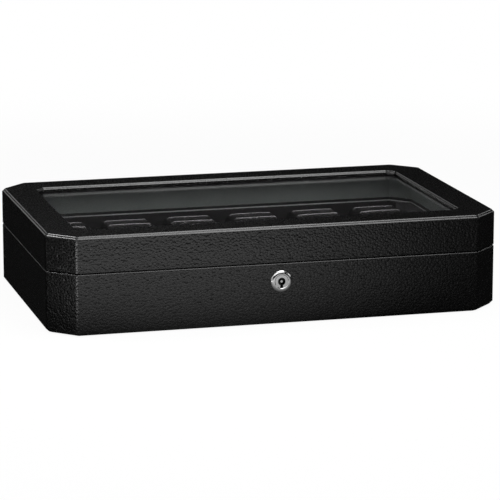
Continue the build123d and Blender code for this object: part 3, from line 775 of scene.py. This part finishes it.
def walk_octagon(name, profile):
    """A closed skin: an octagon is extruded from step to step of a profile, its mitres rounded."""
    bm = bmesh.new()
    corner = bm.verts.layers.int.new("corner")

    def on_mitre(edge):
        return edge.verts[0][corner] == edge.verts[1][corner]

    ring = bmesh.ops.create_circle(bm, segments=8, radius=1.0)["verts"]
    for index, (vert, place) in enumerate(zip(ring, octagon_corners(*profile[0]))):
        vert.co = place
        vert[corner] = index
    edges = list(bm.edges)
    for step in profile[1:] + profile[:1]:
        made = bmesh.ops.extrude_edge_only(bm, edges=edges)["geom"]
        places = octagon_corners(*step)
        for vert in only(bmesh.types.BMVert, made):
            vert.co = places[vert[corner]]
        edges = [edge for edge in only(bmesh.types.BMEdge, made) if not on_mitre(edge)]
    outward(bm)
    round_edges(bm, [edge for edge in bm.edges if on_mitre(edge)], ROUNDING, ROUNDING_FACES)
    for vert in bm.verts:
        vert.co.x = min(max(vert.co.x, -HALF_WIDTH), HALF_WIDTH)
        vert.co.y = min(max(vert.co.y, -HALF_DEPTH), HALF_DEPTH)
        vert.co.z = min(max(vert.co.z, BASE_LOW.z), LID_HIGH.z)
    outward(bm)
    mark_pressed(bm)
    return new_object(name, bm)


# %% [markdown]
# The profile of a pressed edge comes from a formula. A straight bevel runs from the wall to the
# top, and twice on its way the leather bulges out, so that a crease lies in the middle.

# %% Profiles
RIDGE = 0.22 * MM
WINDOW_RIDGE = 0.14 * MM
EDGE_STEPS = 14
LIP_STEPS = 6
CREASE_DEPTH = 0.16 * MM
CREASE_WIDTH = 0.55 * MM


def pressed_edge(width, top, ridge):
    """Points up a bevel from the wall to the top, with two ridges and a crease between them."""
    points = []
    for step in range(EDGE_STEPS + 1):
        share = step / EDGE_STEPS
        bulge = ridge * abs(math.sin(2 * math.pi * share)) * math.sqrt(0.5)
        inset = width * share - bulge
        points.append((max(inset, 0.0), min(top - width * (1 - share) + bulge, top)))
    return points


def rounded_lip(radius, height, upward):
    """A quarter round between the wall and the rim, from the wall inwards."""
    points = []
    for step in range(LIP_STEPS + 1):
        angle = math.pi / 2 * step / LIP_STEPS
        rise = radius * (math.sin(angle) - 1)
        inset = radius * (1 - math.cos(angle))
        points.append((inset, height + rise if upward else height - rise))
    return points


def crease_line(height):
    """Three points up a wall that press a fine line into it."""
    return [(0.0, height - CREASE_WIDTH), (CREASE_DEPTH, height), (0.0, height + CREASE_WIDTH)]


# %% [markdown]
# The base's skin goes from under the bottom edge up the wall to the rim and in over it. The inside
# of the skin lies on the board and is never seen, so it only follows in plain steps.

# %% The base's leather
LINE_FROM_EDGE = 4.2 * MM
BOTTOM_TURN_IN = 6.0 * MM


def base_profile():
    bottom, rim = BASE_LOW.z, BASE_HIGH.z
    under = [(BOTTOM_TURN_IN, bottom), (EDGE_BEVEL, bottom)]
    wall = [(0.0, bottom + EDGE_BEVEL), *crease_line(rim - LINE_FROM_EDGE)]
    lip = rounded_lip(LIP, rim, True)
    back = [
        (TURN_IN, rim),
        (TURN_IN, rim - LEATHER),
        (LEATHER, rim - LEATHER),
        (LEATHER, bottom + EDGE_BEVEL),
        (EDGE_BEVEL, bottom + LEATHER),
        (BOTTOM_TURN_IN, bottom + LEATHER),
    ]
    return under + wall + lip + back


base_skin = walk_octagon("base_leather_skin", base_profile())
print("base skin faces:", len(base_skin.data.polygons))

# %% [markdown]
# The lid's skin turns in under the lid's rim, goes up the wall, over the pressed edge and across
# the frame, and ends inside the window, where the glass is let in. Round the window the corners
# are cut less than outside, so those steps say how far.

# %% The lid's leather
def lid_profile():
    rim, top = LID_LOW.z, LID_HIGH.z
    window_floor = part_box("glass_seal")[1].z

    def window_step(inset, z):
        return (inset, z, WINDOW_LEG + MITRE * (FRAME_WIDTH - inset))

    under = [(TURN_IN, rim), *reversed(rounded_lip(LIP, rim, False))]
    wall = [*crease_line(rim + LINE_FROM_EDGE), *crease_line(top - EDGE_BEVEL - LINE_FROM_EDGE)]
    over = pressed_edge(EDGE_BEVEL, top, RIDGE)
    edge = reversed(pressed_edge(WINDOW_BEVEL, top, WINDOW_RIDGE))
    down = [window_step(FRAME_WIDTH - inset, z) for inset, z in edge]
    inner = FRAME_WIDTH - LEATHER
    back = [
        window_step(FRAME_WIDTH, window_floor),
        window_step(inner, window_floor),
        window_step(inner, top - LEATHER - WINDOW_BEVEL),
        window_step(inner - WINDOW_BEVEL, top - LEATHER),
        (EDGE_BEVEL + LEATHER, top - LEATHER),
        (LEATHER, top - LEATHER - EDGE_BEVEL),
        (LEATHER, rim + LEATHER),
        (TURN_IN, rim + LEATHER),
    ]
    return under + wall + over + down + back


lid_skin = walk_octagon("lid_leather_skin", lid_profile())
print("lid skin faces:", len(lid_skin.data.polygons))

# %% [markdown]
# The skins are cut where metal is let into the rims: for the hinge leaves and their barrels, the
# lock's faceplate, the striker, and the barrel of the lock in the front. Each cutter is a simple
# block or rod, placed by the box round the piece that it makes room for, and taken away with a
# Boolean modifier.

# %% Cut the skins for the fittings
CUT_PLAY = 0.05 * MM
GROOVE = 2.35 * MM
BARREL = 8.1 * MM
OVERCUT = 2.0 * MM
LEAF = 1.2 * MM
PLATE = LEATHER
ROD_SIDES = 48


def block_cutter(low, high):
    bm = bmesh.new()
    bmesh.ops.create_cube(bm, size=1.0)
    bmesh.ops.scale(bm, verts=bm.verts, vec=Vector(high) - Vector(low))
    bmesh.ops.translate(bm, verts=bm.verts, vec=(Vector(low) + Vector(high)) / 2)
    return new_object("cutter", bm, smooth=False)


def rod_cutter(radius, start, end):
    bm = bmesh.new()
    run = Vector(end) - Vector(start)
    bmesh.ops.create_cone(
        bm, cap_ends=True, segments=ROD_SIDES, radius1=radius, radius2=radius, depth=run.length
    )
    turn = run.to_track_quat("Z", "Y").to_matrix()
    bmesh.ops.rotate(bm, verts=bm.verts, cent=(0, 0, 0), matrix=turn)
    bmesh.ops.translate(bm, verts=bm.verts, vec=(Vector(start) + Vector(end)) / 2)
    return new_object("cutter", bm, smooth=False)


def cut_away(piece, *cutters):
    """Takes each cutter out of the piece and deletes it."""
    for cutter in cutters:
        modified(piece, "BOOLEAN", operation="DIFFERENCE", solver="EXACT", object=cutter)
        bpy.data.objects.remove(cutter)


def hinge_cutters(side, upward):
    """Room for a hinge's leaf and for its barrel, in the rim of the base or of the lid."""
    low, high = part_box(f"hinge_{side}_base_leaf")
    axis = middle_of(f"hinge_{side}_pin")
    x_low, x_high = low.x - CUT_PLAY, high.x + CUT_PLAY
    if upward:
        z_low, z_high = BASE_HIGH.z - LEAF - CUT_PLAY, LID_LOW.z + OVERCUT
    else:
        z_low, z_high = BASE_HIGH.z - OVERCUT, LID_LOW.z + LEAF + CUT_PLAY
    seat = block_cutter((x_low, low.y - CUT_PLAY, z_low), (x_high, HALF_DEPTH + OVERCUT, z_high))
    groove = rod_cutter(GROOVE, (x_low, axis.y, axis.z), (x_high, axis.y, axis.z))
    return seat, groove


def lock_cutters():
    """Room for the faceplate in the base's rim, and for the lock's barrel in its front."""
    low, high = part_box("lock_case")
    plate = block_cutter(
        (low.x, low.y, BASE_HIGH.z - PLATE), (high.x, high.y + OVERCUT, BASE_HIGH.z + OVERCUT)
    )
    x, _, z = middle_of("lock_rosette")
    barrel = rod_cutter(BARREL, (x, -HALF_DEPTH - OVERCUT, z), (x, -HALF_DEPTH + OVERCUT, z))
    return plate, barrel


def striker_cutter():
    low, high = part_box("striker_plate")
    return block_cutter((low.x, low.y, low.z - OVERCUT), (high.x, high.y + OVERCUT, high.z))


cut_away(base_skin, *hinge_cutters("left", True), *hinge_cutters("right", True), *lock_cutters())
cut_away(lid_skin, *hinge_cutters("left", False), *hinge_cutters("right", False), striker_cutter())
for skin in (base_skin, lid_skin):
    evenly_shaded(skin)
print("after the cuts:", len(base_skin.data.polygons), len(lid_skin.data.polygons))

finish_piece(base_skin, "base", "black_leather", LEATHER_FINISH, "base_leather")
finish_piece(lid_skin, "lid", "black_leather", LEATHER_FINISH, "lid_leather")

# %% [markdown]
# ## The lock
#
# The bright ring in the front is a turned and polished dome with the lock's barrel behind it. Its
# thin inner lip reaches over the edge of the plug. A turned piece is a spun profile: half of its
# section goes once round the lock's axis.

# %% The lock's ring
DOME_STEPS = 16
CREST_RADIUS = 6.4 * MM
LIP_RADIUS = 5.7 * MM
LIP_THICK = 0.15 * MM
ROUND_STEPS = 72
RING_LOW, RING_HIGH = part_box("lock_rosette")
LOCK_PLACE = middle_of("lock_rosette")
PLUG_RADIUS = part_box("lock_plug")[1].x - LOCK_PLACE.x
BORE = PLUG_RADIUS + CUT_PLAY
RING_RADIUS = RING_HIGH.x - LOCK_PLACE.x
PROUD = -HALF_FRONT - RING_LOW.y


def make_ring():
    under_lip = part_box("lock_plug")[0].y - CUT_PLAY
    lip_height = -HALF_FRONT - (under_lip - LIP_THICK)
    dome_end = math.pi - math.asin(lip_height / PROUD)
    reaches = (RING_RADIUS - CREST_RADIUS, (CREST_RADIUS - LIP_RADIUS) / -math.cos(dome_end))
    profile = [(BORE, RING_HIGH.y), (BORE + LEATHER, RING_HIGH.y), (BORE + LEATHER, -HALF_FRONT)]
    for step in range(DOME_STEPS + 1):
        angle = dome_end * step / DOME_STEPS
        reach = reaches[0] if math.cos(angle) > 0 else reaches[1]
        radius = CREST_RADIUS + reach * math.cos(angle)
        profile.append((radius, -HALF_FRONT - PROUD * math.sin(angle)))
    profile += [(LIP_RADIUS, under_lip), (BORE, under_lip)]
    bm = bmesh.new()
    verts = [bm.verts.new((LOCK_PLACE.x + r, y, LOCK_PLACE.z)) for r, y in profile]
    edges = [bm.edges.new(pair) for pair in zip(verts, verts[1:] + verts[:1])]
    bmesh.ops.spin(
        bm,
        geom=verts + edges,
        cent=(LOCK_PLACE.x, 0, LOCK_PLACE.z),
        axis=(0, 1, 0),
        angle=2 * math.pi,
        steps=ROUND_STEPS,
        use_merge=True,
    )
    outward(bm)
    return evenly_shaded(new_object("lock_ring", bm))


# %% [markdown]
# The plug inside the ring is stamped, with a keyhole whose edge is broken by a small chamfer. It is
# copied from the working model, merged into whole faces and bevelled, so that its neck and square
# stay where the lock needs them.

# %% The plug
CHAMFER = 0.28 * MM
FLAT_ANGLE = math.radians(1)


def make_plug():
    bm = bmesh.new()
    bm.from_mesh(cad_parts["lock_plug"].data)
    outward(bm)
    bmesh.ops.dissolve_limit(
        bm, angle_limit=FLAT_ANGLE, use_dissolve_boundaries=False, verts=bm.verts, edges=bm.edges
    )
    front = min(vert.co.y for vert in bm.verts)
    rim = [edge for edge in bm.edges if all(vert.co.y - front < CUT_PLAY for vert in edge.verts)]
    round_edges(bm, rim, CHAMFER, 2, clamp=True)
    outward(bm)
    return evenly_shaded(new_object("lock_plug_turned", bm))


# %% [markdown]
# Shade is painted inside the keyhole, where little light reaches: the plug's own finish fades to a
# dark tone with depth along the lock's axis.

# %% Painted shade in the keyhole
# Painted shade inside the keyhole: where it begins, where it is full, and its tone.
KEYHOLE_SHADE_FROM = 0.35 * MM
KEYHOLE_SHADE_AT = 1.6 * MM
KEYHOLE_SHADE_TONE = grey(0.02)


def make_plug_with_keyhole_shade():
    """Polished nickel with painted shade that turns it dark inside the keyhole."""
    material = NICKEL.copy()
    material.name = "plug_nickel"
    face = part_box("lock_plug")[0].y
    depth = along_axis(material, "Y", face + KEYHOLE_SHADE_FROM, face + KEYHOLE_SHADE_AT)
    # Painted shade: darker with depth inside the keyhole.
    blend_over(material, depth, KEYHOLE_SHADE_TONE)
    return material


PLUG_NICKEL = make_plug_with_keyhole_shade()
finish_piece(make_ring(), "base", "polished_nickel", NICKEL, "lock_rosette")
finish_piece(make_plug(), "lock_cylinder", "polished_nickel", PLUG_NICKEL, "lock_plug")
print("ring radius", RING_RADIUS, "plug radius", PLUG_RADIUS, "proud", PROUD)

# %% [markdown]
# ## The watch cushions
#
# Each cushion is a foam core in a suede wrap, and a watch is buckled round it. Its top is nearly
# flat between two sewn ridges, its front and back are round, its ends pull in a little, and it is
# flat only underneath. One cushion is blown up from a slightly smaller shape with a cloth
# simulation, which gives the tight, uneven swelling of stuffed fabric. A plain bevelled block
# would be faster, but its sides would stay dead flat. All eighteen are copies of it, each turned
# and dented a little, because no two stuffed cushions are alike.

# %% The cushion's side view
CELL_LOW, CELL_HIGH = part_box("watch_cushion_11")
CUSHION = CELL_HIGH - CELL_LOW
PLATEAU = 20.0 * MM
FOOT = 26.0 * MM
CHEEK = 8.0 * MM
SWELL = 0.9 * MM
ARC_STEPS = 8
END_ROUNDING = 1.8 * MM
END_FACES = 3


def cushion_profile(half_length, half_height):
    """The side view as points in Y and Z: a flat top and foot, and a round front and back."""
    points = []
    corners = ((1, 1, PLATEAU), (1, -1, FOOT), (-1, -1, FOOT), (-1, 1, PLATEAU))
    for side, level, flat in corners:
        arc = []
        for step in range(ARC_STEPS + 1):
            angle = math.pi / 2 * step / ARC_STEPS
            y = flat / 2 + (half_length - flat / 2) * math.sin(angle)
            z = CHEEK / 2 + (half_height - CHEEK / 2) * math.cos(angle)
            arc.append((side * y, level * z))
        points += arc if side == level else reversed(arc)
    return points


def cushion_core():
    """The shape before it is stuffed: the side view pulled out to the cushion's width."""
    bm = bmesh.new()
    half = (CUSHION.x - 2 * SWELL) / 2
    profile = cushion_profile((CUSHION.y - 2 * SWELL) / 2, (CUSHION.z - SWELL) / 2)
    side = bm.faces.new([bm.verts.new((-half, y, z)) for y, z in profile])
    made = bmesh.ops.extrude_face_region(bm, geom=[side])["geom"]
    bmesh.ops.translate(bm, verts=only(bmesh.types.BMVert, made), vec=(2 * half, 0, 0))
    outward(bm)
    rims = [edge for edge in bm.edges if abs(edge.verts[0].co.x - edge.verts[1].co.x) < SAME_PLACE]
    round_edges(bm, rims, END_ROUNDING, END_FACES)
    bmesh.ops.triangulate(bm, faces=[face for face in bm.faces if len(face.verts) > 4])
    outward(bm)
    return new_object("cushion_master", bm)


# %% [markdown]
# A cloth simulation needs even faces all over, so the shape is remeshed before it is stuffed and
# made smooth after it. No point may move further than the swell.

# %% Stuff it with a cloth simulation
VOXEL = 2.2 * MM
STUFFING_FRAMES = 20
FABRIC = {
    "quality": 5,
    "mass": 0.2,
    "tension_stiffness": 12,
    "compression_stiffness": 12,
    "bending_stiffness": 0.4,
    "use_pressure": True,
    "uniform_pressure_force": 4.0,
}


def stuffed(piece):
    """Blows the piece up from inside, holds each point within the swell, and applies it."""
    before = [vert.co.copy() for vert in piece.data.vertices]
    cloth = piece.modifiers.new("stuffing", "CLOTH")
    for name, value in FABRIC.items():
        setattr(cloth.settings, name, value)
    cloth.settings.effector_weights.gravity = 0
    cloth.point_cache.frame_start = 1
    cloth.point_cache.frame_end = STUFFING_FRAMES
    for frame_number in range(1, STUFFING_FRAMES + 1):
        bpy.context.scene.frame_set(frame_number)
    applied(piece)
    moved = 0.0
    for vert, start in zip(piece.data.vertices, before):
        shift = vert.co - start
        if shift.length > SWELL:
            shift = shift.normalized() * SWELL
        vert.co = start + shift
        moved = max(moved, shift.length)
    print("stuffing moved a point by at most", round(moved / MM, 2), "mm")
    bpy.context.scene.frame_set(1)


cushion_master = modified(cushion_core(), "REMESH", mode="VOXEL", voxel_size=VOXEL)
stuffed(cushion_master)
modified(cushion_master, "SUBSURF", levels=1, render_levels=1)
print("cushion faces:", len(cushion_master.data.polygons))

# %% [markdown]
# Sewing comes after the stuffing, because the even faces would swallow a ridge thinner than
# themselves. Each ridge is a thin cord of suede that lies half sunk in the top, from one end of
# the cushion to the other, and runs a little way down. Its place is found by looking straight down
# on the stuffed top, so it follows the swelling. A highlight is painted on each ridge: a named
# attribute tells the material where to colour it light.

# %% Sewn ridges
RIDGE_RADIUS = 0.75 * MM
RIDGE_SIDES = 8
RIDGE_STEPS = 24
RIDGE_DROP = 1.6 * MM
RIDGE_INSET = 0.5 * MM
RIDGE_RISE = 0.75
END_SHARE = 0.5
TAPER = 12
REACH_STEP = 0.1 * MM
DOWN = Vector((0, 0, -1))
QUARTER_TURN = Matrix.Rotation(math.pi / 2, 3, "Y")


def top_at(tree, x, y):
    """The highest point of the cushion at one place, or None beside it."""
    return tree.ray_cast(Vector((x, y, 1)), DOWN)[0]


def ridge_reach(tree, y, outside):
    """How far out a ridge can run before the top falls away on either side."""
    floor = top_at(tree, 0, y).z - RIDGE_DROP
    x = outside
    while x > 0:
        hits = [top_at(tree, side * x, y) for side in (-1, 1)]
        if all(hit and hit.z > floor for hit in hits):
            break
        x -= REACH_STEP
    return x


def add_ridge(bm, tree, y, half, ridge_highlight):
    """One cord along X on the top at y, made by extruding a ring from step to step."""
    made = bmesh.ops.create_circle(bm, cap_ends=True, segments=RIDGE_SIDES, radius=RIDGE_RADIUS)
    ring = made["verts"]
    bmesh.ops.rotate(bm, verts=ring, cent=(0, 0, 0), matrix=QUARTER_TURN)
    face = next(face for face in ring[0].link_faces if len(face.verts) == RIDGE_SIDES)
    previous = Vector((0, 0, 0))
    for step in range(RIDGE_STEPS + 1):
        x = -half + 2 * half * step / RIDGE_STEPS
        taper = min(1.0, END_SHARE + TAPER * (1 - abs(x) / half))
        place = Vector((x, y, top_at(tree, x, y).z - RIDGE_RADIUS * (1 - RIDGE_RISE * taper)))
        if step:
            face = bmesh.ops.extrude_discrete_faces(bm, faces=[face])["faces"][0]
            ring = list(face.verts)
        bmesh.ops.translate(bm, verts=ring, vec=place - previous)
        previous = place
        # Painted highlight: how light each ring is coloured, fading towards the ends.
        for vert in ring:
            vert[ridge_highlight] = taper


def sew_ridges(master):
    """Adds two ridges to the mesh of the stuffed cushion."""
    bm = bmesh.new()
    bm.from_mesh(master.data)
    tree = BVHTree.FromBMesh(bm)
    outside = max(vert.co.x for vert in bm.verts)
    # The layer that says where the ridges get their painted highlight.
    ridge_highlight = bm.verts.layers.float.new("ridge_highlight")
    for side in (-1, 1):
        y = side * (PLATEAU / 2 - RIDGE_INSET)
        add_ridge(bm, tree, y, ridge_reach(tree, y, outside), ridge_highlight)
    bmesh.ops.recalc_face_normals(bm, faces=bm.faces)
    bm.to_mesh(master.data)
    bm.free()


sew_ridges(cushion_master)
print("with its ridges:", len(cushion_master.data.polygons))

# %% [markdown]
# Each copy is dented by a smooth noise of its own, turned and shifted by a hair, and set down on
# the floor of its cell. The seeds make every run draw the same numbers and the same noise.

# %% Eighteen cushions
DENT = 0.3 * MM
DENT_SIZE = 14.0 * MM
NOISE_SPAN = 50
SHIFT = 0.5 * MM
TURN = math.radians(1.2)
TRAY_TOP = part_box("tray_floor_lining")[1].z
CLEAR = 0.05 * MM
random.seed(18)
noise.seed_set(18)


def place_cushion(name, node):
    """A copy of the master in one cell, dented and turned its own way."""
    middle = middle_of(node)
    offset = Vector([random.uniform(-NOISE_SPAN, NOISE_SPAN) for _ in range(3)])
    turn = Matrix.Rotation(random.uniform(-TURN, TURN), 3, "Z")
    shift = Vector((random.uniform(-SHIFT, SHIFT), random.uniform(-SHIFT, SHIFT), 0))
    bm = bmesh.new()
    bm.from_mesh(cushion_master.data)
    floor = TRAY_TOP + CLEAR - middle.z
    for vert in bm.verts:
        dent = noise.noise_vector(vert.co / DENT_SIZE + offset)
        vert.co = turn @ (vert.co + dent * DENT) + shift
        vert.co.z = max(vert.co.z, floor)
    bmesh.ops.translate(bm, verts=bm.verts, vec=middle)
    piece = new_object(name, bm)
    body = node.replace("watch_cushion", "cushion")
    finish_piece(piece, body, "cushion_suede", CUSHION_SUEDE, node)


cushion_nodes = sorted(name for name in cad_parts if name.startswith("watch_cushion_"))
for cushion_node in cushion_nodes:
    place_cushion(cushion_node + "_cover", cushion_node)
bpy.data.objects.remove(cushion_master)
print("cushions:", len(cushion_nodes))

# %% [markdown]
# ## Finishes for the pieces that keep their shape
#
# Each finish goes to the nodes whose names start with one of the words beside it.

# %% Materials for the model's own pieces
FINISHES = (
    (BOARD, ("base_carcass", "bottom_board")),
    (PAINTED_BOARD, ("lid_carcass",)),
    (FELT, ("bottom_felt",)),
    (TRAY_SUEDE, ("tray_floor_lining", "long_divider_", "cross_divider_", "glass_retainer")),
    (TRAY_END_SUEDE, ("tray_end_",)),
    (TRAY_RIM_HIGHLIGHT_SUEDE, ("base_wall_lining",)),
    (LID_SUEDE, ("lid_wall_lining",)),
    (GLASS, ("glass_pane",)),
    (RUBBER, ("glass_seal",)),
    (NICKEL, ("keyhole_pin", "hinge_", "base_hinge_", "lid_hinge_")),
    (STEEL, ("lock_case", "lock_claw", "claw_screw", "striker_")),
)


def dress_nodes():
    """Puts each finish on its nodes and counts them."""
    dressed = 0
    for finish, starts in FINISHES:
        for name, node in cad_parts.items():
            if name.startswith(starts):
                node.data.materials.clear()
                node.data.materials.append(finish)
                dressed += 1
    return dressed


print("nodes with a finish:", dress_nodes(), "of", len(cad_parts))
